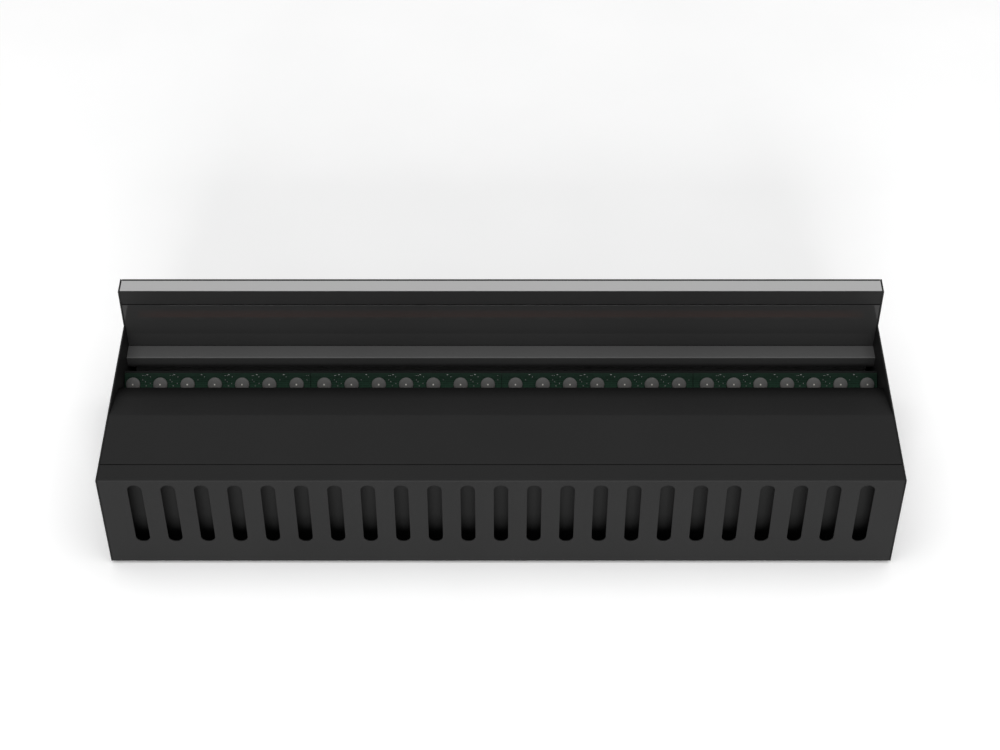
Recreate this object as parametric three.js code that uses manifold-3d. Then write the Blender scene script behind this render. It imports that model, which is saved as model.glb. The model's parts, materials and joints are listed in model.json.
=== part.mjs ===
// Linear water-vapour electric fireplace insert.
// Millimetres, +Z up, +X along its length, -Y to the front. The origin is the centre of the footprint,
// on the surface that the rubber feet stand on.
// Inside this file Y is counted from the front face backwards; the last group moves it onto the origin.
// Touching pieces keep a gap of about 0.3 mm.

import * as THREE from 'three';
import { mergeVertices } from 'three/addons/utils/BufferGeometryUtils.js';
import Module from 'manifold-3d';

const manifold = await Module();
manifold.setup();

// ---- driving dimensions ------------------------------------------------------------------------

const WIDTH = 800;
const DEPTH = 241;
const HEIGHT = 175;
const SHEET = 1.5;
const THIN_SHEET = 1.2;
const GAP = 0.3;

const BASE_Z = 4;
const FRONT_TOP = 126;
const FLANGE_DEPTH = 21.4;
const LID_START = 22.4;
const LID_FOLD = 89.8;
const LIP_Y = 149.5;
const LIP_Z = 106;
const LIP_DROP = 7;

const SLOT_COUNT = 23;
const SLOT_PITCH = 33;
const SLOT_WIDTH = 14.5;
const SLOT_LENGTH = 85;
const SLOT_CENTRE_Z = 76.8;

const INNER_WALL_Y = 23.3;
const INNER_WALL_TOP = 106;

const GLASS_Y = 221.5;
const GLASS_BOTTOM = 90;
const GLASS_TOP = 155.8;
const GLASS_THICKNESS = 4;
const RAIL_FRONT = 203;
const RAIL_TOP = 97;
const RAIL_BOTTOM = 83.3;
const RAIL_BACK = 230;

const LED_Y = 172.2;
const LED_Z = 87;
const LENS_RADIUS = 7.6;
const LENS_HEIGHT = 3.4;
const BOARD_HALF_WIDTH = 12.5;
const BOARD_THICKNESS = 1.6;
const LEDS_PER_BOARD = 7;
const APRON_BOTTOM = 70;
const STRIP_DEPTH = 11;
const STRIP_TOP = 81;
// First LED and pitch of each board. The right-hand board is the short one that ends the row.
const BOARDS = [
  { first: -388.6, pitch: 28.8, left: -397.6, right: -201.3 },
  { first: -186.6, pitch: 28.8, left: -200.8, right: 0.4 },
  { first: 15.3, pitch: 28.8, left: 0.9, right: 202.7 },
  { first: 217.6, pitch: 28.2, left: 203.2, right: 397.6 },
];

const CHAMBER_FRONT = 100;
const CHAMBER_BACK = 214;
const CHAMBER_HALF_LENGTH = 392;
const CHAMBER_FLOOR = 9;
const CHAMBER_FRONT_TOP = 96.5;
const CHAMBER_BACK_TOP = 82;
const CHAMBER_END_TOP = 68;
const PLASTIC = 2.5;
const RIB = 6;
const CHAMBER_RIB_XS = [-380, -130, 130, 380];

const FAN_SIZE = 60;
const FAN_DEPTH = 20;
const FAN_Z = 64;
const FAN_BORE = 28;
const FAN_XS = [-90, 10, 110];
const FAN_BLADES = 7;
const SPOKE_DEPTH = 3.5;
const ROTOR_DEPTH = 13;
const ROTOR_HUB = 12.5;
const BEARING_RADIUS = 2;

const MODULE_XS = [-300, -150, 0, 150, 300];
const MODULE_Y = 165;
const MODULE_RADIUS = 23;
const MODULE_HEIGHT = 14;
const DISC_RADIUS = 9;
const FLOAT_X = -345;
const FLOAT_Y = 128;

const TANK = { left: -392, right: -150, front: 40, back: 94, bottom: 14, top: 102 };
const TANK_RIB_XS = [-375, -175];
const FILLER_X = -230;
const FILLER_Y = 67;
const NECK_RADIUS = 15;
const MOUTH_RADIUS = 12.5;
const NECK_HEIGHT = 10;
const FEED_X = -170;
const FEED_Z = 24;
const FEED_RADIUS = 5;

const DRAIN_X = -340;
const DRAIN_Z = 24;
const DRAIN_RADIUS = 12;
const DRAIN_BORE = 9;
const DRAIN_LENGTH = 19;
const DRAIN_OPENING = 15;

const PLATE_X = WIDTH / 2 - SHEET;
const INNER_X = PLATE_X - GAP;

const HINGE_Y = 32.4;
const HINGE_Z = 121.5;
const HINGE_RADIUS = 2;
const EAR_HALF_DEPTH = 4.5;

const CONTROL_Y = 64;
const INLET_Z = 34;
const SWITCH_Z = 66;
const BUTTON_Z = 94;
const BUTTON_RADIUS = 4.5;
const BUTTON_YS = [-21, -7, 7, 21].map((offset) => CONTROL_Y + offset);
const BUTTON_BOARD = { left: 386, right: 387.6, halfDepth: 30, halfHeight: 11 };
const INLET = { halfDepth: 13.7, halfHeight: 10.2, length: 22 };
const SWITCH = { halfDepth: 10.7, halfHeight: 7.7, length: 14 };
const CONTROL_FACE = WIDTH / 2 - 0.2;
const ROCKER_TILT = 0.17;

const SUPPLY = { left: 172, right: 276, front: 40, back: 94, bottom: 6, top: 44 };
const SUPPLY_VENTS = 8;
const BOARD = { left: 286, right: 364, front: 40, back: 94, bottom: 14, top: 15.6 };
// Parts that stand on the control board: low corner, high corner.
const BOARD_PARTS = [
  [[296, 50, 15], [312, 66, 31]],
  [[318, 50, 15], [334, 64, 27]],
  [[300, 74, 15], [322, 84, 19]],
  [[340, 48, 15], [356, 84, 24]],
];

const TRAY_FRONT = 2;
const TRAY_FLANGE = 16;
const SCREW_Z = 12.5;
const SCREW_RADIUS = 1.9;
const SCREW_HEAD = 4;
const SCREW_LENGTH = 8;
const END_SCREW_YS = [34, 120, 206];
const REAR_SCREW_XS = [-372, -130, 130, 372];
const VENT_GROUP_XS = [-215, 215];
const VENTS_PER_GROUP = 9;
const VENT_PITCH = 14;
const FOOT_XS = [-340, 340];
const FOOT_YS = [40, 205];

// ---- materials ---------------------------------------------------------------------------------

function finish(colour, roughness, metalness) {
  return new THREE.MeshStandardMaterial({ color: colour, roughness, metalness });
}

const blackSteel = finish(0x303030, 0.55, 0.2);
const darkSteel = finish(0x262626, 0.65, 0.2);
const greySteel = finish(0x484848, 0.45, 0.3);
const blackGlass = finish(0x0b0b0c, 0.06, 0.0);
const aluminium = finish(0xb0b0b0, 0.35, 0.9);
const amber = finish(0x8a3f1e, 0.4, 0.0);
const greenBoard = finish(0x123524, 0.5, 0.0);
const blackPlastic = finish(0x1c1c1e, 0.5, 0.0);
const clearPlastic = finish(0xc9d2d4, 0.25, 0.0);
const ceramic = finish(0xd8d6cf, 0.4, 0.0);
const fanPlastic = finish(0x18181a, 0.45, 0.0);
const zincSteel = finish(0x9a9c9e, 0.4, 0.8);
const rubber = finish(0x141414, 0.85, 0.0);
const redPlastic = finish(0x7a1512, 0.35, 0.0);
const whitePlastic = finish(0xd9dadb, 0.45, 0.0);
const pipeSilicone = finish(0xb9bcb8, 0.5, 0.0);

// ---- solid and mesh helpers --------------------------------------------------------------------

const fireplace = new THREE.Group();
fireplace.name = 'vapour_fireplace';
fireplace.position.y = -DEPTH / 2;

function toSolid(geometry) {
  const bare = new THREE.BufferGeometry();
  bare.setAttribute('position', geometry.getAttribute('position').clone());
  if (geometry.index) bare.setIndex(geometry.index.clone());
  const merged = mergeVertices(bare, 1e-4);
  const vertProperties = new Float32Array(merged.getAttribute('position').array);
  const triVerts = new Uint32Array(merged.index.array);
  return new manifold.Manifold(new manifold.Mesh({ numProp: 3, vertProperties, triVerts }));
}

function toGeometry(body) {
  const mesh = body.getMesh();
  const geometry = new THREE.BufferGeometry();
  geometry.setAttribute('position', new THREE.BufferAttribute(mesh.vertProperties, 3));
  geometry.setIndex(new THREE.BufferAttribute(mesh.triVerts, 1));
  geometry.computeVertexNormals();
  return geometry;
}

function join(bodies) {
  return bodies.reduce((whole, body) => whole.add(body));
}

function cut(body, tools) {
  return body.subtract(join(tools));
}

function addPiece(name, body, material) {
  const mesh = new THREE.Mesh(toGeometry(body), material);
  mesh.name = name;
  fireplace.add(mesh);
}

function block(low, high) {
  const size = high.map((value, axis) => value - low[axis]);
  const geometry = new THREE.BoxGeometry(...size);
  geometry.translate(...high.map((value, axis) => (value + low[axis]) / 2));
  return toSolid(geometry);
}

// An outline in the Y-Z plane, extruded along X.
function barAlongX(outline, left, right) {
  const shape = new THREE.Shape(outline.map(([y, z]) => new THREE.Vector2(y, z)));
  const geometry = new THREE.ExtrudeGeometry(shape, { depth: right - left, bevelEnabled: false });
  const place = new THREE.Matrix4().makeBasis(
    new THREE.Vector3(0, 1, 0),
    new THREE.Vector3(0, 0, 1),
    new THREE.Vector3(1, 0, 0),
  );
  geometry.applyMatrix4(place.setPosition(left, 0, 0));
  return toSolid(geometry);
}

// An outline in the X-Z plane, extruded along Y from front to back.
function barAlongY(outline, front, back) {
  const shape = new THREE.Shape(outline.map(([x, z]) => new THREE.Vector2(x, z)));
  const geometry = new THREE.ExtrudeGeometry(shape, { depth: back - front, bevelEnabled: false });
  const place = new THREE.Matrix4().makeBasis(
    new THREE.Vector3(1, 0, 0),
    new THREE.Vector3(0, 0, 1),
    new THREE.Vector3(0, -1, 0),
  );
  geometry.applyMatrix4(place.setPosition(0, back, 0));
  return toSolid(geometry);
}

// A turned solid about the Z axis, from [radius, height] points that start and end on the axis.
function turned(profile, segments) {
  const points = profile.map(([radius, height]) => new THREE.Vector2(radius, height));
  const geometry = new THREE.LatheGeometry(points, segments);
  geometry.rotateX(Math.PI / 2);
  return geometry;
}

function turnedAt(profile, segments, [x, y, z], axis = 'z') {
  const geometry = turned(profile, segments);
  if (axis === 'x') geometry.rotateY(Math.PI / 2);
  if (axis === 'y') geometry.rotateX(-Math.PI / 2);
  geometry.translate(x, y, z);
  return toSolid(geometry);
}

function rod(radius, start, length, axis, segments = 16) {
  const profile = [[0, 0], [radius, 0], [radius, length], [0, length]];
  return turnedAt(profile, segments, start, axis);
}

// A stadium outline with round ends, upright, centred on [x, z].
function stadium(x, z, width, length, steps = 5) {
  const radius = width / 2;
  const straight = length / 2 - radius;
  const points = [];
  for (const side of [1, -1]) {
    for (let step = 0; step <= steps; step += 1) {
      const angle = (Math.PI * step) / steps;
      points.push([x + side * radius * Math.cos(angle), z + side * (straight + radius * Math.sin(angle))]);
    }
  }
  return points;
}

// The closed outline of a folded sheet whose outer face follows the points. The material lies on the
// right of the way the points run, seen with Y to the right and Z up.
function folded(points, thickness) {
  const inner = points.map((point, index) => {
    const before = points[Math.max(index - 1, 0)];
    const after = points[Math.min(index + 1, points.length - 1)];
    const normals = [];
    for (const [a, b] of [[before, point], [point, after]]) {
      const length = Math.hypot(b[0] - a[0], b[1] - a[1]);
      if (length > 0) normals.push([(b[1] - a[1]) / length, -(b[0] - a[0]) / length]);
    }
    const [first, last] = [normals[0], normals[normals.length - 1]];
    const sum = [first[0] + last[0], first[1] + last[1]];
    const scale = (2 * thickness) / (sum[0] * sum[0] + sum[1] * sum[1]);
    return [point[0] + sum[0] * scale, point[1] + sum[1] * scale];
  });
  return [...inner, ...points.slice().reverse()];
}

// ---- countersunk screws and their seats ----------------------------------------------------------

function onEnd(geometry, side, y) {
  geometry.rotateY((side * Math.PI) / 2);
  geometry.translate((side * WIDTH) / 2, y, SCREW_Z);
  return toSolid(geometry);
}

function onRear(geometry, x) {
  geometry.rotateX(-Math.PI / 2);
  geometry.translate(x, DEPTH, SCREW_Z);
  return toSolid(geometry);
}

function screwSeat() {
  const shank = SCREW_RADIUS + GAP;
  const head = SCREW_HEAD + GAP;
  return turned([[0, -SHEET - 1], [shank, -SHEET - 1], [shank, -SHEET], [head, 0.2], [0, 0.2]], 10);
}

// The head is flush with the sheet, and the shank passes the tray's flange.
function screwBody() {
  const profile = [
    [0, -SCREW_LENGTH],
    [SCREW_RADIUS - 0.5, -SCREW_LENGTH],
    [SCREW_RADIUS, 1 - SCREW_LENGTH],
    [SCREW_RADIUS, -SHEET],
    [SCREW_HEAD - 0.2, -0.1],
    [0, -0.1],
  ];
  const slot = new THREE.BoxGeometry(9, 1, 1);
  slot.translate(0, 0, -0.3);
  return toGeometry(toSolid(turned(profile, 10)).subtract(toSolid(slot)));
}

function screws() {
  END_SCREW_YS.forEach((y, index) => {
    addPiece(`left_plate_screw_${index + 1}`, onEnd(screwBody(), -1, y), zincSteel);
    addPiece(`right_plate_screw_${index + 1}`, onEnd(screwBody(), 1, y), zincSteel);
  });
  REAR_SCREW_XS.forEach((x, index) => {
    addPiece(`rear_panel_screw_${index + 1}`, onRear(screwBody(), x), zincSteel);
  });
}

// ---- casing ------------------------------------------------------------------------------------

function baseTray() {
  const back = DEPTH - SHEET - GAP;
  const top = BASE_Z + TRAY_FLANGE;
  const floor = block([-INNER_X, TRAY_FRONT, BASE_Z], [INNER_X, back, BASE_Z + SHEET]);
  const flanges = [
    block([-INNER_X, TRAY_FRONT, BASE_Z], [INNER_X, TRAY_FRONT + SHEET, top]),
    block([-INNER_X, back - SHEET, BASE_Z], [INNER_X, back, top]),
    block([-INNER_X, TRAY_FRONT, BASE_Z], [-INNER_X + SHEET, back, top]),
    block([INNER_X - SHEET, TRAY_FRONT, BASE_Z], [INNER_X, back, top]),
  ];
  const reach = 10;
  const hole = SCREW_RADIUS + GAP;
  const holes = [rod(DRAIN_OPENING, [DRAIN_X, DEPTH - reach, DRAIN_Z], reach, 'y', 24)];
  for (const y of END_SCREW_YS) {
    holes.push(rod(hole, [-WIDTH / 2, y, SCREW_Z], reach, 'x', 12));
    holes.push(rod(hole, [WIDTH / 2 - reach, y, SCREW_Z], reach, 'x', 12));
  }
  for (const x of REAR_SCREW_XS) holes.push(rod(hole, [x, DEPTH - reach, SCREW_Z], reach, 'y', 12));
  addPiece('base_tray', cut(join([floor, ...flanges]), holes), darkSteel);
}

// The end plates stand up to the lid beside the flame bed, and to the trim behind it.
function endPlateOutline() {
  const step = GLASS_Y - 0.5;
  return [[0, BASE_Z], [DEPTH, BASE_Z], [DEPTH, HEIGHT], [step, HEIGHT], [step, FRONT_TOP], [0, FRONT_TOP]];
}

function endPlate(name, side, openings) {
  const [left, right] = side < 0 ? [-WIDTH / 2, -PLATE_X] : [PLATE_X, WIDTH / 2];
  const seats = END_SCREW_YS.map((y) => onEnd(screwSeat(), side, y));
  const hinge = rod(HINGE_RADIUS + GAP, [left - 1, HINGE_Y, HINGE_Z], SHEET + 2, 'x', 20);
  const plate = barAlongX(endPlateOutline(), left, right);
  addPiece(name, cut(plate, [...seats, hinge, ...openings]), blackSteel);
}

function controlOpening(control, z) {
  const low = [PLATE_X - 1, CONTROL_Y - control.halfDepth - GAP, z - control.halfHeight - GAP];
  const high = [WIDTH / 2 + 1, CONTROL_Y + control.halfDepth + GAP, z + control.halfHeight + GAP];
  return block(low, high);
}

function endPlates() {
  endPlate('left_end_plate', -1, []);
  const openings = [controlOpening(INLET, INLET_Z), controlOpening(SWITCH, SWITCH_Z)];
  for (const y of BUTTON_YS) {
    openings.push(rod(BUTTON_RADIUS + 0.4, [PLATE_X - 1, y, BUTTON_Z], SHEET + 2, 'x', 20));
  }
  endPlate('right_end_plate', 1, openings);
}

function slottedFrontCover() {
  const outline = folded([[0, BASE_Z], [0, FRONT_TOP], [FLANGE_DEPTH, FRONT_TOP]], SHEET);
  const slots = [];
  for (let index = 0; index < SLOT_COUNT; index += 1) {
    const x = (index - (SLOT_COUNT - 1) / 2) * SLOT_PITCH;
    slots.push(barAlongY(stadium(x, SLOT_CENTRE_Z, SLOT_WIDTH, SLOT_LENGTH), -1, SHEET + 1));
  }
  addPiece('slotted_front_cover', cut(barAlongX(outline, -INNER_X, INNER_X), slots), blackSteel);
}

// The wall behind the slots. Air passes over its top, under the lid.
function innerFrontWall() {
  const foot = BASE_Z + SHEET + GAP;
  const face = INNER_WALL_Y;
  const outline = folded([[face, INNER_WALL_TOP], [face, foot], [face + 14, foot]], -THIN_SHEET);
  const end = INNER_X - SHEET - GAP;
  addPiece('inner_front_wall', barAlongX(outline, -end, end), darkSteel);
}

function rearPanel() {
  const front = DEPTH - SHEET;
  const sheet = block([-INNER_X, front, BASE_Z], [INNER_X, DEPTH, HEIGHT]);
  const tools = REAR_SCREW_XS.map((x) => onRear(screwSeat(), x));
  tools.push(rod(DRAIN_OPENING, [DRAIN_X, front - 1, DRAIN_Z], SHEET + 2, 'y', 20));
  for (const groupX of VENT_GROUP_XS) {
    for (let index = 0; index < VENTS_PER_GROUP; index += 1) {
      const x = groupX + (index - (VENTS_PER_GROUP - 1) / 2) * VENT_PITCH;
      tools.push(barAlongY(stadium(x, FAN_Z, 5, 44, 3), front - 1, DEPTH + 1));
    }
  }
  addPiece('rear_panel', cut(sheet, tools), blackSteel);
}

// ---- riser behind the flame ----------------------------------------------------------------------

// The glass stands in a step of the lip rail, below a panel with a shelf at its foot.
function backGlass() {
  const glass = block([-INNER_X, GLASS_Y, GLASS_BOTTOM], [INNER_X, GLASS_Y + GLASS_THICKNESS, GLASS_TOP]);
  addPiece('back_glass', glass, blackGlass);
}

function upperBackPanel() {
  const foot = GLASS_TOP + 1.1;
  const back = GLASS_Y + THIN_SHEET;
  const outline = folded([[GLASS_Y, foot], [GLASS_Y, HEIGHT], [back, HEIGHT]], THIN_SHEET);
  const shelf = block([-INNER_X, GLASS_Y, foot], [INNER_X, GLASS_Y + 11, foot + THIN_SHEET]);
  addPiece('upper_back_panel', barAlongX(outline, -INNER_X, INNER_X).add(shelf), blackSteel);
}

function topTrim() {
  const front = GLASS_Y + THIN_SHEET + GAP;
  const back = DEPTH - SHEET - GAP;
  const top = HEIGHT - 0.2;
  const bottom = HEIGHT - 9;
  const outline = folded([[front, bottom], [front, top], [back, top], [back, bottom]], SHEET);
  addPiece('top_trim', barAlongX(outline, -INNER_X, INNER_X), aluminium);
}

function rearLipRail() {
  const step = GLASS_BOTTOM - GAP;
  const back = GLASS_Y - GAP;
  const points = [
    [RAIL_FRONT, RAIL_BOTTOM],
    [RAIL_FRONT, RAIL_TOP],
    [back, RAIL_TOP],
    [back, step],
    [RAIL_BACK, step],
  ];
  addPiece('rear_lip_rail', barAlongX(folded(points, SHEET), -INNER_X, INNER_X), greySteel);
}

// ---- service lid -------------------------------------------------------------------------------

function serviceLid() {
  const outline = folded(
    [[LID_START, FRONT_TOP], [LID_FOLD, FRONT_TOP], [LIP_Y, LIP_Z], [LIP_Y, LIP_Z - LIP_DROP]],
    SHEET,
  );
  const pieces = [barAlongX(outline, -INNER_X, INNER_X)];
  const pinEnd = WIDTH / 2 - 0.4;
  const pinLength = pinEnd - INNER_X + 1;
  for (const side of [-1, 1]) {
    const [left, right] = side < 0 ? [-INNER_X, -INNER_X + 3] : [INNER_X - 3, INNER_X];
    const low = [left, HINGE_Y - EAR_HALF_DEPTH, HINGE_Z - 4];
    pieces.push(block(low, [right, HINGE_Y + EAR_HALF_DEPTH, FRONT_TOP - 0.5]));
    const start = side < 0 ? -pinEnd : pinEnd - pinLength;
    pieces.push(rod(HINGE_RADIUS, [start, HINGE_Y, HINGE_Z], pinLength, 'x', 20));
  }
  addPiece('service_lid', join(pieces), blackSteel);
}

// ---- light -------------------------------------------------------------------------------------

const UP_SLOPE = Math.SQRT1_2;

// A point on the LED boards' sloping frame: `along` runs up the slope, `out` stands off its face.
function boardPoint(along, out) {
  return [LED_Y + UP_SLOPE * (along - out), LED_Z + UP_SLOPE * (along + out)];
}

function ledBracket() {
  const seat = -(BOARD_THICKNESS + GAP);
  const lower = boardPoint(-BOARD_HALF_WIDTH, seat);
  const upper = boardPoint(BOARD_HALF_WIDTH, seat);
  const wall = LIP_Y - 2.6;
  const cover = LIP_Z - LIP_DROP - 1;
  const apron = upper[0] + 2.8;
  const points = [
    [CHAMBER_FRONT - 2, cover],
    [wall, cover],
    [wall, lower[1]],
    lower,
    upper,
    [apron, upper[1]],
    [apron, APRON_BOTTOM],
  ];
  addPiece('led_bracket', barAlongX(folded(points, THIN_SHEET), -INNER_X, INNER_X), darkSteel);

  const strip = block([-INNER_X, LIP_Y, lower[1] + GAP], [INNER_X, LIP_Y + STRIP_DEPTH, STRIP_TOP]);
  addPiece('glow_strip', strip, amber);
}

function ledBoard(board, number) {
  const corners = [
    boardPoint(-BOARD_HALF_WIDTH, -BOARD_THICKNESS),
    boardPoint(BOARD_HALF_WIDTH, -BOARD_THICKNESS),
    boardPoint(BOARD_HALF_WIDTH, 0),
    boardPoint(-BOARD_HALF_WIDTH, 0),
  ];
  let body = barAlongX(corners, board.left, board.right);
  const profile = [
    [0, -0.8],
    [LENS_RADIUS, -0.8],
    [LENS_RADIUS, 1.5],
    [LENS_RADIUS - 0.9, 2.4],
    [LENS_RADIUS / 2, LENS_HEIGHT - 0.2],
    [0, LENS_HEIGHT],
  ];
  for (let index = 0; index < LEDS_PER_BOARD; index += 1) {
    const lens = turned(profile, 12);
    lens.rotateX(Math.PI / 4);
    lens.translate(board.first + index * board.pitch, LED_Y, LED_Z);
    body = body.add(toSolid(lens));
  }
  addPiece(`led_board_${number}`, body, greenBoard);
}

// ---- water and mist ----------------------------------------------------------------------------

function mistChamber() {
  const length = CHAMBER_HALF_LENGTH;
  const inside = length - PLASTIC;
  const front = CHAMBER_FRONT;
  const back = CHAMBER_BACK;
  const floor = CHAMBER_FLOOR;
  const parts = [
    block([-length, front, floor], [length, back, floor + PLASTIC]),
    block([-length, front, floor], [length, front + PLASTIC, CHAMBER_FRONT_TOP]),
    block([-length, back - PLASTIC, floor], [length, back, CHAMBER_BACK_TOP]),
    block([-length, front, floor], [-inside, back, CHAMBER_END_TOP]),
    block([inside, front, floor], [length, back, CHAMBER_END_TOP]),
    rod(DRAIN_RADIUS, [DRAIN_X, back - 1, DRAIN_Z], DRAIN_LENGTH + 1, 'y', 20),
    ...CHAMBER_RIB_XS.map((x) => rib(x, front + RIB, back - RIB, floor)),
  ];
  const holes = FAN_XS.map((x) => rod(FAN_BORE - 1, [x, front - 1, FAN_Z], PLASTIC + 2, 'y', 20));
  holes.push(rod(DRAIN_BORE, [DRAIN_X, back - 6, DRAIN_Z], DRAIN_LENGTH + 11, 'y', 20));
  holes.push(rod(FEED_RADIUS + GAP, [FEED_X, front - 1, FEED_Z], PLASTIC + 2, 'y', 20));
  addPiece('mist_chamber', cut(join(parts), holes), blackPlastic);
}

// A foot rib under a moulding, which stands on the tray.
function rib(x, front, back, top) {
  return block([x - RIB / 2, front, BASE_Z + SHEET + GAP], [x + RIB / 2, back, top + 1]);
}

function ultrasonicModule(x, number) {
  const bottom = CHAMBER_FLOOR + PLASTIC + GAP;
  const disc = MODULE_HEIGHT - 2.2;
  const profile = [
    [0, 0],
    [MODULE_RADIUS - 2, 0],
    [MODULE_RADIUS, 2],
    [MODULE_RADIUS, 9],
    [MODULE_RADIUS - 3, MODULE_HEIGHT],
    [DISC_RADIUS + 3.5, MODULE_HEIGHT],
    [DISC_RADIUS + 2, disc - 0.8],
    [DISC_RADIUS, disc - 0.8],
    [DISC_RADIUS, disc],
    [0, disc],
  ];
  addPiece(`ultrasonic_module_${number}`, turnedAt(profile, 16, [x, MODULE_Y, bottom]), ceramic);
}

function waterLevelFloat() {
  const bottom = CHAMBER_FLOOR + PLASTIC + GAP;
  const stem = [[0, 0], [9, 0], [9, 2], [3, 2], [3, 50], [6.5, 50], [6.5, 53], [0, 53]];
  addPiece('float_stem', turnedAt(stem, 12, [FLOAT_X, FLOAT_Y, bottom]), whitePlastic);
  const ring = [[3.6, 2.6], [13, 2.6], [14, 4], [14, 15], [13, 16.4], [3.6, 16.4], [3.6, 2.6]];
  addPiece('level_float', turnedAt(ring, 16, [FLOAT_X, FLOAT_Y, bottom]), whitePlastic);
}

function drainPlug() {
  const end = CHAMBER_BACK + DRAIN_LENGTH + GAP;
  const stem = rod(DRAIN_BORE - 0.4, [DRAIN_X, end - 10, DRAIN_Z], 10.5, 'y', 24);
  const head = rod(DRAIN_RADIUS - 0.5, [DRAIN_X, end, DRAIN_Z], 3, 'y', 24);
  const wing = block([DRAIN_X - 8, end + 2, DRAIN_Z - 1.8], [DRAIN_X + 8, DEPTH - 0.6, DRAIN_Z + 1.8]);
  addPiece('drain_plug', join([stem, head, wing]), redPlastic);
}

function waterTank() {
  const { left, right, front, back, bottom, top } = TANK;
  const outer = block([left, front, bottom], [right, back, top]);
  const neck = rod(NECK_RADIUS, [FILLER_X, FILLER_Y, top - 1], NECK_HEIGHT + 1, 'z', 20);
  const ribs = TANK_RIB_XS.map((x) => rib(x, front + RIB, back - RIB, bottom));
  const hollow = block(
    [left + PLASTIC, front + PLASTIC, bottom + PLASTIC],
    [right - PLASTIC, back - PLASTIC, top - PLASTIC],
  );
  const mouth = rod(MOUTH_RADIUS, [FILLER_X, FILLER_Y, top - 6], NECK_HEIGHT + 10, 'z', 20);
  const outlet = rod(FEED_RADIUS + GAP, [FEED_X, back - 4, FEED_Z], 8, 'y', 20);
  addPiece('water_tank', cut(join([outer, neck, ...ribs]), [hollow, mouth, outlet]), clearPlastic);
}

// The pipe ends flush with the inner faces of the tank and the chamber.
function feedPipe() {
  const bore = FEED_RADIUS - 1.5;
  const start = TANK.back - PLASTIC;
  const length = CHAMBER_FRONT + PLASTIC - start;
  const wall = [[bore, 0], [FEED_RADIUS, 0], [FEED_RADIUS, length], [bore, length], [bore, 0]];
  addPiece('feed_pipe', turnedAt(wall, 20, [FEED_X, start, FEED_Z], 'y'), pipeSilicone);
}

// The cap's skirt hangs around the neck, and its grip stands across the top.
function tankCap() {
  const low = TANK.top + 1;
  const inside = NECK_RADIUS + 0.5;
  const outside = NECK_RADIUS + 3;
  const profile = [
    [0, 9.6],
    [inside, 9.6],
    [inside, 0],
    [outside, 0],
    [outside, 10.5],
    [outside - 1.2, 12],
    [0, 12],
  ];
  const shell = turnedAt(profile, 20, [FILLER_X, FILLER_Y, low]);
  const grip = block([FILLER_X - 13, FILLER_Y - 2, low + 11], [FILLER_X + 13, FILLER_Y + 2, low + 17]);
  addPiece('tank_cap', shell.add(grip), blackPlastic);
}

// ---- air ---------------------------------------------------------------------------------------

function fanFrame(x, number) {
  const half = FAN_SIZE / 2;
  const back = CHAMBER_FRONT - GAP;
  const front = back - FAN_DEPTH;
  const body = block([x - half, front, FAN_Z - half], [x + half, back, FAN_Z + half]);
  const shell = cut(body, [rod(FAN_BORE, [x, front - 1, FAN_Z], FAN_DEPTH + 2, 'y', 24)]);
  const hub = ROTOR_HUB - 1;
  const spokes = [rod(hub, [x, back - SPOKE_DEPTH, FAN_Z], SPOKE_DEPTH, 'y', 16)];
  for (const angle of [0.6, 0.6 + Math.PI / 2]) {
    const spoke = new THREE.BoxGeometry(2 * FAN_BORE + 1, 2.5, 3);
    spoke.rotateY(angle);
    spoke.translate(x, back - SPOKE_DEPTH / 2, FAN_Z);
    spokes.push(toSolid(spoke));
  }
  const bearing = rod(BEARING_RADIUS, [x, back - 6, FAN_Z], 12, 'y', 10);
  addPiece(`fan_frame_${number}`, cut(join([shell, ...spokes]), [bearing]), fanPlastic);
}

function fanRotor(x, number) {
  const back = CHAMBER_FRONT - GAP - SPOKE_DEPTH - 0.5;
  const front = back - ROTOR_DEPTH;
  const parts = [
    rod(ROTOR_HUB, [x, front, FAN_Z], ROTOR_DEPTH, 'y', 18),
    rod(BEARING_RADIUS - 0.4, [x, back - 1, FAN_Z], 4, 'y', 10),
  ];
  const span = FAN_BORE - 2 - ROTOR_HUB + 1.5;
  for (let index = 0; index < FAN_BLADES; index += 1) {
    const blade = new THREE.BoxGeometry(span, 1.2, 15);
    blade.rotateX(0.7);
    blade.translate(ROTOR_HUB - 1 + span / 2, 0, 0);
    blade.rotateY((2 * Math.PI * index) / FAN_BLADES);
    blade.translate(x, (front + back) / 2, FAN_Z);
    parts.push(toSolid(blade));
  }
  addPiece(`fan_rotor_${number}`, join(parts), fanPlastic);
}

// ---- electrics ---------------------------------------------------------------------------------

function powerSupply() {
  const { left, right, front, back, bottom, top } = SUPPLY;
  const vents = [];
  for (let index = 0; index < SUPPLY_VENTS; index += 1) {
    const x = left + 18 + index * 10;
    vents.push(block([x, front + 10, top - 3], [x + 4, back - 10, top + 2]));
  }
  addPiece('power_supply', cut(block([left, front, bottom], [right, back, top]), vents), zincSteel);
}

function controlBoard() {
  const { left, right, front, back, bottom, top } = BOARD;
  const foot = BASE_Z + SHEET + GAP;
  const inset = 5;
  const parts = [block([left, front, bottom], [right, back, top])];
  for (const x of [left + inset, right - inset]) {
    for (const y of [front + inset, back - inset]) parts.push(rod(2.6, [x, y, foot], 9, 'z', 12));
  }
  for (const [low, high] of BOARD_PARTS) parts.push(block(low, high));
  parts.push(rod(5, [331, 79, 15], 16, 'z', 16));
  addPiece('control_board', join(parts), greenBoard);
}

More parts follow.
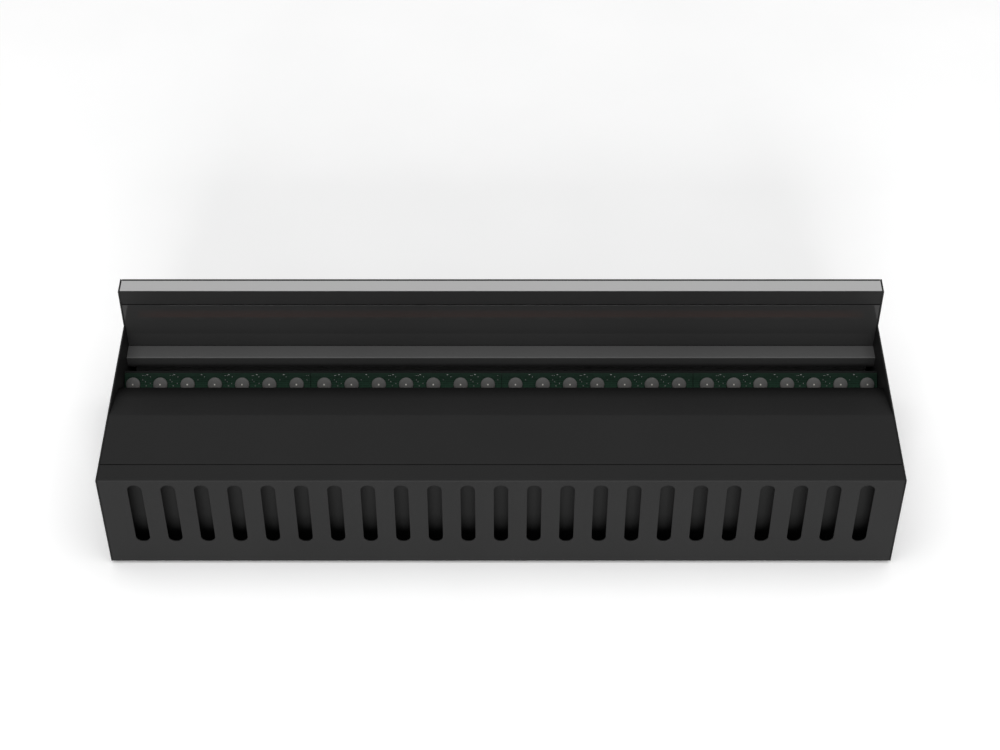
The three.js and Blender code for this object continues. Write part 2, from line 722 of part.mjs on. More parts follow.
// A socket or switch body: a nose in the end plate's opening, a shoulder behind the plate, and a hollow.
function controlShell(control, z, shoulder, wall) {
  const { halfDepth, halfHeight, length } = control;
  const nose = block(
    [CONTROL_FACE - 4, CONTROL_Y - halfDepth, z - halfHeight],
    [CONTROL_FACE, CONTROL_Y + halfDepth, z + halfHeight],
  );
  const body = block(
    [CONTROL_FACE - length, CONTROL_Y - halfDepth - shoulder, z - halfHeight - shoulder],
    [PLATE_X - GAP, CONTROL_Y + halfDepth + shoulder, z + halfHeight + shoulder],
  );
  const hollow = block(
    [CONTROL_FACE - length + 2 * wall, CONTROL_Y - halfDepth + wall, z - halfHeight + wall],
    [CONTROL_FACE + 1, CONTROL_Y + halfDepth - wall, z + halfHeight - wall],
  );
  return cut(nose.add(body), [hollow]);
}

function mainsInlet() {
  const back = CONTROL_FACE - INLET.length + 3;
  const pins = [];
  for (const [alongY, alongZ] of [[-7, -2], [0, 2], [7, -2]]) {
    const y = CONTROL_Y + alongY;
    const z = INLET_Z + alongZ;
    pins.push(block([back, y - 1, z - 2], [CONTROL_FACE - 5.5, y + 1, z + 2]));
  }
  addPiece('mains_inlet', join([controlShell(INLET, INLET_Z, 1.8, 1.9), ...pins]), blackPlastic);
}

function switchBody() {
  addPiece('switch_body', controlShell(SWITCH, SWITCH_Z, 1.8, 1.5), blackPlastic);
}

// The rocker turns about an upright pin through its middle. It is stored switched off.
function powerRocker() {
  const outline = [[-8.4, -1.2], [0, -2.4], [8.4, -1.2], [5, -8], [-5, -8]];
  const shape = new THREE.Shape(outline.map(([along, out]) => new THREE.Vector2(along, out)));
  const height = 11.6;
  const geometry = new THREE.ExtrudeGeometry(shape, { depth: height, bevelEnabled: false });
  geometry.translate(0, 4, -height / 2);
  geometry.rotateZ(ROCKER_TILT);
  const place = new THREE.Matrix4().makeBasis(
    new THREE.Vector3(0, 1, 0),
    new THREE.Vector3(1, 0, 0),
    new THREE.Vector3(0, 0, -1),
  );
  geometry.applyMatrix4(place.setPosition(CONTROL_FACE - 4, CONTROL_Y, SWITCH_Z));
  addPiece('power_rocker', toSolid(geometry), redPlastic);
}

// The board hangs from the end plate on two spacers, and carries one key under each button.
function buttonBoard() {
  const { left, right, halfDepth, halfHeight } = BUTTON_BOARD;
  const low = [left, CONTROL_Y - halfDepth, BUTTON_Z - halfHeight];
  const parts = [block(low, [right, CONTROL_Y + halfDepth, BUTTON_Z + halfHeight])];
  for (const y of BUTTON_YS) {
    parts.push(block([right - 0.6, y - 3, BUTTON_Z - 3], [right + 3.4, y + 3, BUTTON_Z + 3]));
    parts.push(rod(1.7, [right + 2.4, y, BUTTON_Z], 2.6, 'x', 16));
  }
  for (const side of [-1, 1]) {
    const y = CONTROL_Y + side * (halfDepth - 3);
    parts.push(rod(2.4, [right - 0.6, y, BUTTON_Z + 7], PLATE_X - GAP - right + 0.6, 'x', 12));
  }
  addPiece('button_board', join(parts), greenBoard);
}

function controlButton(y, number) {
  const height = 4.8;
  const base = WIDTH / 2 - 0.1 - height;
  const profile = [
    [0, 0],
    [6.2, 0],
    [6.2, 1.6],
    [BUTTON_RADIUS, 1.6],
    [BUTTON_RADIUS, height - 0.6],
    [BUTTON_RADIUS - 0.6, height],
    [0, height],
  ];
  addPiece(`control_button_${number}`, turnedAt(profile, 14, [base, y, BUTTON_Z], 'x'), blackPlastic);
}

// ---- feet --------------------------------------------------------------------------------------

function foot(x, y, number) {
  const height = BASE_Z - GAP;
  const profile = [[0, 0.6], [3, 0.6], [3.6, 0], [9, 0], [9.8, 0.8], [10, height], [0, height]];
  addPiece(`foot_${number}`, turnedAt(profile, 14, [x, y, 0]), rubber);
}

// ---- the whole fireplace -----------------------------------------------------------------------

baseTray();
endPlates();
slottedFrontCover();
innerFrontWall();
rearPanel();
backGlass();
upperBackPanel();
topTrim();
rearLipRail();
serviceLid();
ledBracket();
BOARDS.forEach((board, index) => ledBoard(board, index + 1));
mistChamber();
MODULE_XS.forEach((x, index) => ultrasonicModule(x, index + 1));
waterLevelFloat();
drainPlug();
waterTank();
feedPipe();
tankCap();
FAN_XS.forEach((x, index) => {
  fanFrame(x, index + 1);
  fanRotor(x, index + 1);
});
powerSupply();
controlBoard();
mainsInlet();
switchBody();
powerRocker();
buttonBoard();
BUTTON_YS.forEach((y, index) => controlButton(y, index + 1));
let footNumber = 0;
for (const x of FOOT_XS) {
  for (const y of FOOT_YS) {
    footNumber += 1;
    foot(x, y, footNumber);
  }
}
screws();

export default fireplace;
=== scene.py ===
import json
import math
import random
from collections import namedtuple

import bmesh
import bpy
from mathutils import Matrix, Vector


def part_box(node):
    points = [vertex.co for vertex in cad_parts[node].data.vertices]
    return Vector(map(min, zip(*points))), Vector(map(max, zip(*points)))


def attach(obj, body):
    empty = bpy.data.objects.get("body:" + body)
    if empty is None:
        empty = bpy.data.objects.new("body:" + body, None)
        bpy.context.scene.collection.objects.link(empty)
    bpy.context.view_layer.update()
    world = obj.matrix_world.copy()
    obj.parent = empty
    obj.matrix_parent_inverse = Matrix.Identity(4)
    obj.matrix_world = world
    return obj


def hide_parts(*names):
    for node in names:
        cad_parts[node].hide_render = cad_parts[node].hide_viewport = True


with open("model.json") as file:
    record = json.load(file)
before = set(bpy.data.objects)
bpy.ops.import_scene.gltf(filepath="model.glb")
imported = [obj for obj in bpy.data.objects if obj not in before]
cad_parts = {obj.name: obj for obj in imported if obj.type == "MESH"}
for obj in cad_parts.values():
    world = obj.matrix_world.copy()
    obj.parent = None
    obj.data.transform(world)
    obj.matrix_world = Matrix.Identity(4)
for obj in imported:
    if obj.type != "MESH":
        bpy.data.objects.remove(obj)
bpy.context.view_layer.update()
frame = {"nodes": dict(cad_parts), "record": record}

record = frame["record"]
BODY_OF = {n: body for body, nodes in record["behaviour"]["bodies"].items() for n in nodes}

MM = 0.001
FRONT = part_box("slotted_front_cover")[0].y
Extent = namedtuple("Extent", "left right front back bottom top")


def extent(node):
    """A node's sides in millimetres: x, distance behind the front face, and height."""
    low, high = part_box(node)
    front, back = (low.y - FRONT) / MM, (high.y - FRONT) / MM
    return Extent(low.x / MM, high.x / MM, front, back, low.z / MM, high.z / MM)


def middle(node):
    """A node's centre: x, distance behind the front face, and height."""
    box = extent(node)
    return (box.left + box.right) / 2, (box.front + box.back) / 2, (box.bottom + box.top) / 2


# Everything below is in millimetres, measured like an extent.
# The casing as a whole, and its sheet metal.
COVER = extent("slotted_front_cover")
TOP = COVER.top
END = extent("right_end_plate").right
DEPTH = extent("rear_panel").back
HEIGHT = extent("rear_panel").top
BASE = extent("rear_panel").bottom
SHEET = 1.5
THIN_SHEET = 1.2
BEND = 1.6
CLEARANCE = 0.3
BOARD_THICKNESS = 1.6

# The slots in the front.
SLOT_COUNT = 23
SLOT_PITCH = 33
SLOT_WIDTH = 14.5
SLOT_LENGTH = 85
SLOT_CENTRE = 76.8
SLOT_STEPS = 14

# The service lid, and the ears and pins that it turns on.
LID_FOLD = 89.8
LIP_TOP = TOP - 20
LIP_DROP = 7
HINGE_FRONT = 32.4
HINGE_Z = 121.5
PIN_RADIUS = 2
PIN_LENGTH = 4.2
EAR_THICKNESS = 3
EAR_WIDTH = 9
EAR_DROP = 4

# The LED boards, which slope up to the rear.
LED_FRONT = 172.2
LED_Z = 87
LENS_RADIUS = 7.6
LENS_HEIGHT = 3.4
BOARD_HALF = 12.5
SLOPE = math.sqrt(0.5)
PER_BOARD = 7
# The first lens's x on each board, and the pitch of its lenses.
BOARD_ROWS = ((-388.6, 28.8), (-186.6, 28.8), (15.3, 28.8), (217.6, 28.2))

# The end plates and the rear panel.
STEP_FRONT = 221
SCREW_SEAT = 4.3
DRAIN_OPENING = 15
VENT_GROUPS = (-215, 215)
VENT_COUNT = 9
VENT_PITCH = 14
VENT_WIDTH = 5
VENT_LENGTH = 44
VENT_Z = 64

# The controls in the right end plate, and the sizes of their openings.
CONTROL_FRONT = 64
INLET_Z = 34
INLET_OPENING = (28, 21)
SWITCH_Z = 66
SWITCH_OPENING = (22, 16)
BUTTON_Z = 94
BUTTON_OPENING = 4.9
BUTTON_FRONTS = [CONTROL_FRONT + offset for offset in (-21, -7, 7, 21)]

# The fans.
FAN_HALF = 30
FAN_BORE = 28
FAN_HOLE = 25
FAN_FLANGE = 4
HUB_RADIUS = 12.5
BLADE_ROOT = 12.3
BLADE_TIP = 26
BLADE_COUNT = 7
ROTOR_DEPTH = 13


# ---- materials ---------------------------------------------------------------------------------

def link(tree, source, target):
    tree.links.new(source, target)


def surface(
    name,
    dark,
    light,
    rough,
    metallic=0.0,
    specular=0.5,
    broad=7.0,
    grain=900.0,
    height=0.00004,
    stretch=(1.0, 1.0, 1.0),
):
    """A material whose colour and roughness drift between two values, with a fine grain as bump."""
    material = bpy.data.materials.new(name)
    material.use_nodes = True
    tree = material.node_tree
    shader = tree.nodes["Principled BSDF"]
    shader.inputs["Metallic"].default_value = metallic
    shader.inputs["Specular IOR Level"].default_value = specular

    place = tree.nodes.new("ShaderNodeTexCoord")
    mapping = tree.nodes.new("ShaderNodeMapping")
    mapping.inputs["Scale"].default_value = stretch
    link(tree, place.outputs["Object"], mapping.inputs["Vector"])

    cloud = tree.nodes.new("ShaderNodeTexNoise")
    cloud.inputs["Scale"].default_value = broad
    cloud.inputs["Detail"].default_value = 6.0
    link(tree, mapping.outputs["Vector"], cloud.inputs["Vector"])
    ramp = tree.nodes.new("ShaderNodeValToRGB")
    ramp.color_ramp.elements[0].position = 0.3
    ramp.color_ramp.elements[0].color = (*dark, 1.0)
    ramp.color_ramp.elements[1].position = 0.7
    ramp.color_ramp.elements[1].color = (*light, 1.0)
    link(tree, cloud.outputs["Fac"], ramp.inputs["Fac"])
    link(tree, ramp.outputs["Color"], shader.inputs["Base Color"])

    speck = tree.nodes.new("ShaderNodeTexNoise")
    speck.inputs["Scale"].default_value = grain
    speck.inputs["Detail"].default_value = 3.0
    link(tree, mapping.outputs["Vector"], speck.inputs["Vector"])
    spread = tree.nodes.new("ShaderNodeMapRange")
    spread.inputs["To Min"].default_value = rough[0]
    spread.inputs["To Max"].default_value = rough[1]
    link(tree, speck.outputs["Fac"], spread.inputs["Value"])
    link(tree, spread.outputs["Result"], shader.inputs["Roughness"])
    bump = tree.nodes.new("ShaderNodeBump")
    bump.inputs["Strength"].default_value = 0.5
    bump.inputs["Distance"].default_value = height
    link(tree, speck.outputs["Fac"], bump.inputs["Height"])
    link(tree, bump.outputs["Normal"], shader.inputs["Normal"])
    return material


def grey(value):
    return (value, value, value)


def paint_shade(material, full, dim, factor):
    """Paints shade into a material: its colour falls from all of it at the full height to a factor of it at
    the dim one.
    """
    tree = material.node_tree
    shader = tree.nodes["Principled BSDF"]
    colour = shader.inputs["Base Color"].links[0].from_socket
    place = tree.nodes.new("ShaderNodeTexCoord")
    split = tree.nodes.new("ShaderNodeSeparateXYZ")
    link(tree, place.outputs["Object"], split.inputs["Vector"])
    fade = tree.nodes.new("ShaderNodeMapRange")
    fade.inputs["From Min"].default_value = full * MM
    fade.inputs["From Max"].default_value = dim * MM
    fade.inputs["To Min"].default_value = 1.0
    fade.inputs["To Max"].default_value = factor
    link(tree, split.outputs["Z"], fade.inputs["Value"])
    scale = tree.nodes.new("ShaderNodeVectorMath")
    scale.operation = "SCALE"
    link(tree, colour, scale.inputs[0])
    link(tree, fade.outputs["Result"], scale.inputs["Scale"])
    link(tree, scale.outputs["Vector"], shader.inputs["Base Color"])


def circuit_material():
    """Dark green solder mask, with paler lines where copper runs lie under it."""
    dark, light = (0.006, 0.022, 0.013), (0.01, 0.036, 0.021)
    material = surface("circuit_green", dark, light, (0.55, 0.65), specular=0.08)
    tree = material.node_tree
    runs = tree.nodes.new("ShaderNodeTexBrick")
    runs.inputs["Scale"].default_value = 260.0
    runs.inputs["Mortar Size"].default_value = 0.04
    runs.inputs["Brick Width"].default_value = 1.9
    runs.inputs["Row Height"].default_value = 0.42
    runs.inputs["Color1"].default_value = (0.006, 0.02, 0.012, 1.0)
    runs.inputs["Color2"].default_value = (0.009, 0.028, 0.017, 1.0)
    runs.inputs["Mortar"].default_value = (0.016, 0.046, 0.028, 1.0)
    place = tree.nodes.new("ShaderNodeTexCoord")
    link(tree, place.outputs["Object"], runs.inputs["Vector"])
    link(tree, runs.outputs["Color"], tree.nodes["Principled BSDF"].inputs["Base Color"])
    return material


STEEL = surface("powder_black", grey(0.0118), grey(0.0134), (0.5, 0.6), specular=0.12)
# A lighter, glossier copy of the powder coat for bevels and cut rims: a painted highlight along the edges.
STEEL_EDGE_HIGHLIGHT = surface("powder_black_edge_highlight", grey(0.017), grey(0.021), (0.45, 0.55), specular=0.2)
# A copy of the black powder coat for the lid, which carries painted shade near the lip.
LID = surface("powder_lid", grey(0.0118), grey(0.0134), (0.5, 0.6), specular=0.12)
# A near-black copy of the powder coat for the lid's cut rim and bevels: painted shade, a dark line at the lip
# and at the seam.
SHEET_RIM_SHADE = surface("sheet_rim_painted_shade", grey(0.003), grey(0.005), (0.5, 0.6), specular=0.1)
INNER = surface("powder_inner", grey(0.018), grey(0.022), (0.55, 0.66), specular=0.15)
# The inner wall's powder coat, which carries painted shade at its foot.
WALL = surface("powder_wall", grey(0.0125), grey(0.0145), (0.55, 0.66), specular=0.1)
BRACKET = surface("powder_bracket", grey(0.007), grey(0.009), (0.55, 0.66), specular=0.1)
# The rail's grey, which carries painted shade on its front leg.
RAIL = surface("rail_grey", grey(0.068), grey(0.075), (0.45, 0.55), specular=0.2)
# A lighter copy of the rail's grey for its bevels and cut rims: a painted highlight along its edges.
RAIL_EDGE_HIGHLIGHT = surface("rail_grey_edge_highlight", grey(0.1), grey(0.12), (0.35, 0.42), specular=0.4)
GLASS = surface(
    "black_glass",
    grey(0.0185),
    grey(0.0205),
    (0.04, 0.06),
    specular=0.35,
    grain=60.0,
    height=0.000002,
)
TRIM = surface(
    "satin_aluminium",
    grey(0.38),
    grey(0.43),
    (0.38, 0.5),
    metallic=0.35,
    broad=3.0,
    grain=420.0,
    stretch=(0.02, 1.0, 1.0),
)
AMBER = surface("amber_acrylic", (0.36, 0.075, 0.02), (0.48, 0.11, 0.03), (0.25, 0.35), specular=0.5)
BOARD = circuit_material()
LENS = surface(
    "frosted_lens",
    (0.082, 0.082, 0.08),
    (0.1, 0.1, 0.098),
    (0.5, 0.6),
    specular=0.15,
    grain=500.0,
)
DIE = surface("led_die", (0.45, 0.45, 0.42), (0.55, 0.55, 0.5), (0.3, 0.4))
SOLDER = surface("tinned_parts", grey(0.12), grey(0.22), (0.35, 0.5), metallic=0.5, broad=400.0)
PLASTIC = surface("black_plastic", grey(0.014), grey(0.018), (0.42, 0.55), specular=0.3, height=0.00006)
CHAMBER = surface("chamber_plastic", grey(0.13), grey(0.16), (0.5, 0.6), specular=0.25)
FAN = surface("fan_plastic", grey(0.014), grey(0.019), (0.35, 0.45), specular=0.35)
TANK = surface("tank_plastic", (0.5, 0.55, 0.57), (0.6, 0.65, 0.67), (0.3, 0.42), grain=500.0)
WHITE = surface("white_plastic", grey(0.6), grey(0.68), (0.4, 0.5))
RED = surface("red_plastic", (0.3, 0.012, 0.01), (0.38, 0.018, 0.014), (0.3, 0.4))
SILICONE = surface("silicone", (0.45, 0.47, 0.45), (0.52, 0.54, 0.52), (0.45, 0.55))
CERAMIC = surface("vapour_ceramic", (0.55, 0.53, 0.48), (0.66, 0.64, 0.58), (0.4, 0.55))
ZINC = surface("zinc_steel", grey(0.24), grey(0.33), (0.38, 0.52), metallic=0.9, broad=60.0, grain=300.0)
RUBBER = surface("rubber", grey(0.009), grey(0.013), (0.75, 0.9), specular=0.3, height=0.0001)

# Painted shade: these colours fall off towards the lid's lip, the wall's foot, the rail's front leg and the
# boards' upper edge.
paint_shade(LID, full=LIP_TOP + 8, dim=LIP_TOP + 0.5, factor=0.1)
paint_shade(WALL, full=50, dim=34, factor=0.5)
paint_shade(RAIL, full=96.6, dim=95.2, factor=0.42)
# The button board shares the board material, so it gets the same painted shade.
paint_shade(BOARD, full=LED_Z - 1, dim=LED_Z + 9, factor=0.4)


# ---- mesh helpers ------------------------------------------------------------------------------

def at(x, front, z):
    return Vector((x * MM, FRONT + front * MM, z * MM))


def rounded(points, radius, steps=5):
    """The polyline with each inner corner turned into an arc."""
    path = [Vector(points[0])]
    for before, corner, after in zip(points, points[1:], points[2:]):
        before, corner, after = Vector(before), Vector(corner), Vector(after)
        inward, outward = (before - corner).normalized(), (after - corner).normalized()
        half = inward.angle(outward) / 2
        reach = radius / math.tan(half)
        centre = corner + (inward + outward).normalized() * (radius / math.sin(half))
        start, end = corner + inward * reach, corner + outward * reach
        for step in range(steps + 1):
            point = start.lerp(end, step / steps)
            path.append(centre + (point - centre).normalized() * radius)
    path.append(Vector(points[-1]))
    return path


def linked(name, data):
    """A new object in the scene."""
    thing = bpy.data.objects.new(name, data)
    bpy.context.scene.collection.objects.link(thing)
    return thing


def applied(thing):
    """The object's mesh with its modifiers applied. The object itself is removed."""
    bpy.context.view_layer.update()
    graph = bpy.context.evaluated_depsgraph_get()
    mesh = bpy.data.meshes.new_from_object(thing.evaluated_get(graph))
    bpy.data.objects.remove(thing)
    return mesh


def as_mesh(name, shape):
    """A mesh with the bmesh's geometry. The bmesh is freed."""
    mesh = bpy.data.meshes.new(name)
    shape.to_mesh(mesh)
    shape.free()
    return mesh


def finished(name, shape, materials, node, bevel=0.3, segments=2, thickness=0.0, angle=40):
    """A piece with rounded edges from a bmesh or mesh, riding on the body of the node that it replaces."""
    if isinstance(shape, bpy.types.Mesh):
        source = shape
        shape = bmesh.new()
        shape.from_mesh(source)
    bmesh.ops.remove_doubles(shape, verts=shape.verts, dist=1e-7)
    mesh = as_mesh(name, shape)
    raw = linked(name + "_raw", mesh)
    for material in materials:
        mesh.materials.append(material)
    mesh.polygons.foreach_set("use_smooth", [True] * len(mesh.polygons))
    if thickness:
        solidify = raw.modifiers.new("sheet", "SOLIDIFY")
        solidify.thickness = thickness * MM
        solidify.offset = -1.0
        solidify.use_even_offset = True
        solidify.material_offset_rim = len(materials) - 1
    if bevel:
        edge = raw.modifiers.new("edge", "BEVEL")
        edge.width = bevel * MM
        edge.segments = segments
        edge.limit_method = "ANGLE"
        edge.angle_limit = math.radians(angle)
        edge.use_clamp_overlap = True
        edge.miter_outer = "MITER_ARC"
        if len(materials) > 1:
            edge.material = 1
    normals = raw.modifiers.new("normals", "WEIGHTED_NORMAL")
    normals.keep_sharp = True
    final = applied(raw)
    final.name = name
    piece = linked(name, final)
    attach(piece, BODY_OF[node])
    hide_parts(node)


def strip(shape, left, right, levels):
    """Quads between two columns of vertices, each from one of the levels to the next."""
    for level in levels:
        shape.faces.new((left[level], right[level], right[level + 1], left[level + 1]))


def folded_sheet(name, node, points, materials, radius=BEND, thickness=SHEET, ends=None):
    """A sheet folded along X whose outer face follows the points. The material lies behind that face."""
    shape = bmesh.new()
    box = extent(node)
    path = rounded(points, radius)
    columns = [[shape.verts.new(at(x, *point)) for point in path] for x in ends or (box.left, box.right)]
    strip(shape, *columns, range(len(path) - 1))
    finished(name, shape, materials, node, bevel=0.15, thickness=thickness)


def add_block(shape, low, high):
    """A box from one corner to the other, in section millimetres."""
    low, high = at(*low), at(*high)
    place = Matrix.Translation((low + high) / 2) @ Matrix.Diagonal((*(high - low), 1.0))
    bmesh.ops.create_cube(shape, size=1.0, matrix=place)


AXES = {
    "z": Matrix.Identity(4),
    "x": Matrix.Rotation(math.pi / 2, 4, "Y"),
    "y": Matrix.Rotation(-math.pi / 2, 4, "X"),
    "-x": Matrix.Rotation(-math.pi / 2, 4, "Y"),
}


def add_turned(shape, profile, place, segments=48):
    """A turned solid from (radius, height) points in millimetres. A point on the axis closes the form."""
    rings = []
    for radius, height in profile:
        if radius < 1e-6:
            rings.append([shape.verts.new(place @ Vector((0, 0, height * MM)))])
            continue
        ring = []
        for step in range(segments):
            angle = 2 * math.pi * step / segments
            point = Vector((radius * MM * math.cos(angle), radius * MM * math.sin(angle), height * MM))
            ring.append(shape.verts.new(place @ point))
        rings.append(ring)
    for lower, upper in zip(rings, rings[1:]):
        for step in range(segments):
            after = (step + 1) % segments
            if len(lower) == 1 and len(upper) == 1:
                break
            if len(lower) == 1:
                shape.faces.new((lower[0], upper[after], upper[step]))
            elif len(upper) == 1:
                shape.faces.new((lower[step], lower[after], upper[0]))
            else:
                shape.faces.new((lower[step], lower[after], upper[after], upper[step]))


def placed(x, front, z, axis="z"):
    return Matrix.Translation(at(x, front, z)) @ AXES[axis]


def turned_piece(name, node, profile, place, material):
    shape = bmesh.new()
    add_turned(shape, profile, place)
    finished(name, shape, [material], node, bevel=0)


def from_cad(name, node, materials, bevel=0.4, segments=2):
    """The CAD solid with its flat faces merged and its edges rounded."""
    shape = bmesh.new()
    shape.from_mesh(frame["nodes"][node].data)
    bmesh.ops.remove_doubles(shape, verts=shape.verts, dist=1e-6)
    flat = math.radians(1)
    bmesh.ops.dissolve_limit(shape, angle_limit=flat, verts=shape.verts, edges=shape.edges)
    finished(name, shape, materials, node, bevel=bevel, segments=segments)


def circle(x, y, radius, steps=32):
    return [
        (x + radius * math.cos(2 * math.pi * k / steps), y + radius * math.sin(2 * math.pi * k / steps))
        for k in range(steps)
    ]


def box_loop(x0, y0, x1, y1, radius, steps=5):
    """A rectangle with round corners, as a closed loop."""
    loop = []
    for cx, cy, start in (
        (x1 - radius, y1 - radius, 0),
        (x0 + radius, y1 - radius, 90),
        (x0 + radius, y0 + radius, 180),
        (x1 - radius, y0 + radius, 270),
    ):
        for step in range(steps + 1):
            angle = math.radians(start + 90 * step / steps)
            loop.append((cx + radius * math.cos(angle), cy + radius * math.sin(angle)))
    return loop


def window(x, y, width, height, corner, steps=5):
    """A rectangle with round corners about its middle."""
    return box_loop(x - width / 2, y - height / 2, x + width / 2, y + height / 2, corner, steps)


def plate_mesh(loops, thickness, place, bevel=0.25):
    """A flat plate about local Z = 0 from closed loops in millimetres: the outline first, then its holes."""
    curve = bpy.data.curves.new("plate", "CURVE")
    curve.dimensions = "2D"
    curve.fill_mode = "BOTH"
    for loop in loops:
        spline = curve.splines.new("POLY")
        spline.points.add(len(loop) - 1)
        for point, (x, y) in zip(spline.points, loop):
            point.co = (x * MM, y * MM, 0, 1)
        spline.use_cyclic_u = True
    curve.extrude = (thickness / 2 - bevel) * MM
    curve.bevel_depth = bevel * MM
    curve.bevel_resolution = 1
    curve.offset = -bevel * MM
    mesh = applied(linked("plate", curve))
    mesh.materials.clear()
    mesh.transform(place)
    return mesh


def basis(right, up, out, origin):
    """A frame whose columns are the three directions."""
    columns = [Vector(right), Vector(up), Vector(out), Vector(origin)]
    return Matrix([[column[row] for column in columns] for row in range(3)] + [[0, 0, 0, 1]])


def facing_front(origin):
    """A frame for a plate that stands across the depth: local X along the fireplace, Y up."""
    return basis((1, 0, 0), (0, 0, 1), (0, -1, 0), origin)


# ---- front and lid -----------------------------------------------------------------------------

def slotted_sheet(name, node, section, slots, bottom, top, materials):
    """A folded sheet whose first, upright leg has round-ended slots about the given x."""
    shape = bmesh.new()
    path = rounded(section, BEND)
    face, foot = section[0]
    shoulder = path[1][1]
    radius = SLOT_WIDTH / 2

    def column(x, inset):
        """Vertices up the leg, where the slot's round ends have drawn in by the inset."""
        return [shape.verts.new(at(x, face, z)) for z in (foot, bottom + inset, top - inset, shoulder)]

    columns = [column(extent(node).left, radius)]
    for x in slots:
        for step in range(SLOT_STEPS + 1):
            angle = math.pi * step / SLOT_STEPS
            columns.append(column(x - radius * math.cos(angle), radius * (1 - math.sin(angle))))
            strip(shape, *columns[-2:], (0, 2) if step else (0, 1, 2))
    columns.append(column(extent(node).right, radius))
    strip(shape, *columns[-2:], (0, 1, 2))

    # From the top of the leg on, the bend and the flange have no slots.
    rows = [[upright[-1] for upright in columns]]
    for front, z in path[2:]:
        rows.append([shape.verts.new(at(vert.co.x / MM, front, z)) for vert in rows[0]])
    bends = list(zip(*rows))
    for left, right in zip(bends, bends[1:]):
        strip(shape, left, right, range(len(rows) - 1))
    finished(name, shape, materials, node, bevel=0.15, thickness=SHEET, angle=50)


def front_cover():
    section = [(0, COVER.bottom), (0, TOP), (COVER.back, TOP)]
    slots = [(index - (SLOT_COUNT - 1) / 2) * SLOT_PITCH for index in range(SLOT_COUNT)]
    bottom, top = SLOT_CENTRE - SLOT_LENGTH / 2, SLOT_CENTRE + SLOT_LENGTH / 2
    materials = [STEEL, STEEL_EDGE_HIGHLIGHT]
    slotted_sheet("slotted_front_cover_sheet", "slotted_front_cover", section, slots, bottom, top, materials)


def inner_wall():
    box = extent("inner_front_wall")
    points = [(box.back, box.bottom), (box.front, box.bottom), (box.front, box.top)]
    folded_sheet("inner_wall_sheet", "inner_front_wall", points, [WALL], 1.4, THIN_SHEET)


def service_lid():
    box, rail = extent("service_lid"), extent("rear_lip_rail")
    points = [(box.front, TOP), (LID_FOLD, TOP), (box.back, LIP_TOP), (box.back, LIP_TOP - LIP_DROP)]
    ends = (rail.left, rail.right)
    folded_sheet("service_lid_sheet", "service_lid", points, [LID, SHEET_RIM_SHADE], ends=ends)

    ears = bmesh.new()
    tip, end = PIN_RADIUS - 0.4, PIN_LENGTH - 0.4
    pin = [(0, 0), (tip, 0), (PIN_RADIUS, 0.4), (PIN_RADIUS, end), (tip, PIN_LENGTH), (0, PIN_LENGTH)]
    for side, axis in ((-1, "-x"), (1, "x")):
        left, right = sorted((side * (COVER.right - EAR_THICKNESS), side * COVER.right))
        low = (left, HINGE_FRONT - EAR_WIDTH / 2, HINGE_Z - EAR_DROP)
        add_block(ears, low, (right, HINGE_FRONT + EAR_WIDTH / 2, TOP - SHEET))
        root = side * (COVER.right - EAR_THICKNESS + 0.1)
        add_turned(ears, pin, placed(root, HINGE_FRONT, HINGE_Z, axis), 32)
    finished("service_lid_ears", ears, [STEEL], "service_lid")


# ---- riser behind the flame --------------------------------------------------------------------

def riser():
    box = extent("upper_back_panel")
    points = [(box.back, box.bottom), (box.front, box.bottom), (box.front, box.top)]
    materials = [STEEL, STEEL_EDGE_HIGHLIGHT]
    folded_sheet("upper_back_panel_sheet", "upper_back_panel", points, materials, 1.0, THIN_SHEET)

    box = extent("top_trim")
    points = [(box.front, box.bottom), (box.front, box.top), (box.back, box.top), (box.back, box.bottom)]
    folded_sheet("top_trim_channel", "top_trim", points, [TRIM], 0.8)

    from_cad("back_glass_panel", "back_glass", [GLASS], bevel=0.12)

    box, glass = extent("rear_lip_rail"), extent("back_glass")
    step, face = glass.bottom - CLEARANCE, glass.front - CLEARANCE
    points = [(box.front, box.bottom), (box.front, box.top), (face, box.top), (face, step), (box.back, step)]
    folded_sheet("rear_lip_rail_sheet", "rear_lip_rail", points, [RAIL, RAIL_EDGE_HIGHLIGHT], 0.9)


# ---- light -------------------------------------------------------------------------------------

def board_frame(x):
    """A frame on the boards' face: local X along the fireplace, Y up the slope and Z out of the board."""
    return basis((1, 0, 0), (0, SLOPE, SLOPE), (0, -SLOPE, SLOPE), at(x, LED_FRONT, LED_Z))


def add_part(shape, place, y, width, length, height, base=0.0):
    """A small box standing on the board."""
    centre = Matrix.Translation(Vector((0, y, base + height / 2)) * MM)
    size = Matrix.Diagonal((width * MM, length * MM, height * MM, 1.0))
    bmesh.ops.create_cube(shape, size=1.0, matrix=place @ centre @ size)


# Small parts between two lenses: across, up the slope, width, length.
CHIPS = (
    (-3.8, 9.6, 1.0, 0.5),
    (-2.0, 9.6, 1.0, 0.5),
    (0.6, 10.6, 1.6, 0.8),
    (3.6, 8.2, 0.6, 1.1),
    (-3.9, 5.0, 1.1, 0.6),
    (-1.8, 3.0, 0.6, 1.1),
    (3.4, 1.2, 0.6, 1.1),
    (-0.6, -1.4, 1.3, 0.7),
)

# A shallow frosted cap, as radius and height above the board.
LENS_PROFILE = (
    (0, -0.05),
    (LENS_RADIUS, -0.05),
    (LENS_RADIUS, 1.4),
    (LENS_RADIUS - 0.25, 2.0),
    (LENS_RADIUS - 0.9, 2.5),
    (LENS_RADIUS - 2.4, 2.95),
    (LENS_RADIUS / 2, LENS_HEIGHT - 0.2),
    (1.8, LENS_HEIGHT - 0.05),
    (0, LENS_HEIGHT),
)


